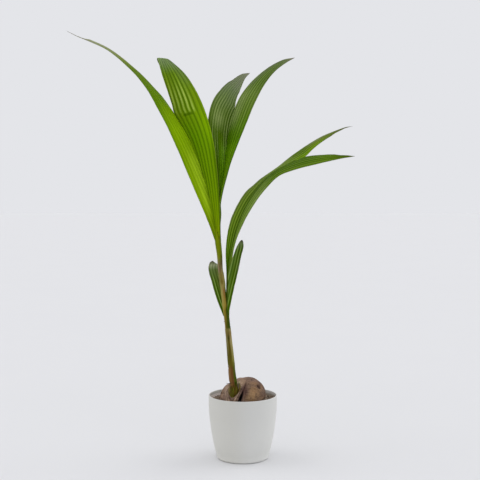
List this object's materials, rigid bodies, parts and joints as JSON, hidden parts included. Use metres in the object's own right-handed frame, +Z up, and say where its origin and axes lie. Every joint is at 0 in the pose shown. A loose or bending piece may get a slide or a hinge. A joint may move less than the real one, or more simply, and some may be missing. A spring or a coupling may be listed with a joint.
{
  "type": "potted coconut palm",
  "caption": "Tall potted coconut palm seedling: sprouted husk in a smooth tapered pot, slender leaning stem with dry leaf sheaths, and long arching leaves, pleated and split at their ends.",
  "frame": {"origin": "centre of the pot's flat underside, on the surface the pot stands on", "axes": "+Z up along the plant, -Y towards the front, where the stem leaves the nut, and +X towards the side that the arching leaf reaches over"},
  "size_m": [0.9353, 0.3447, 1.3912],
  "materials": {
    "pot": "smooth matt white moulded plastic",
    "soil": "rough, crumbly grey-brown potting soil",
    "husk": "dull fibrous brown husk, streaked grey and tan",
    "stem": "satin olive-green stem with brown rings and streaks",
    "green_sheath": "satin green-olive leaf base with brown edges",
    "dry_sheath": "dry, papery, fibrous brown leaf sheath",
    "young_leaf": "satin, pleated yellow-green leaf blade",
    "leaf": "satin, pleated dark green leaf blade"
  },
  "bodies": {
    "root": {"pot": "pot", "soil": "soil", "husk_main": "husk", "husk_flap": "husk", "stem": "stem", "base_sheath": "green_sheath", "lower_sheath": "dry_sheath", "middle_sheath": "dry_sheath", "upper_sheath": "dry_sheath", "tall_leaf_rib": "young_leaf", "tall_leaf_left_half": "young_leaf", "tall_leaf_left_lobe": "young_leaf", "tall_leaf_left_tip": "young_leaf", "tall_leaf_right_half": "young_leaf", "tall_leaf_right_lobe": "young_leaf", "tall_leaf_curled_tip": "young_leaf", "back_leaf_rib": "leaf", "back_leaf_left_half": "leaf", "back_leaf_left_lobe": "leaf", "back_leaf_right_half": "leaf", "back_leaf_right_lobe": "leaf", "back_leaf_right_tip": "leaf", "arching_leaf_stalk": "leaf", "arching_leaf_rib": "leaf", "arching_leaf_left_foot": "leaf", "arching_leaf_left_half": "leaf", "arching_leaf_upper_lobe": "leaf", "arching_leaf_right_foot": "leaf", "arching_leaf_right_half": "leaf", "arching_leaf_lower_lobe": "leaf", "small_left_leaf": "leaf", "small_right_leaf": "leaf"}
  },
  "joints": []
}
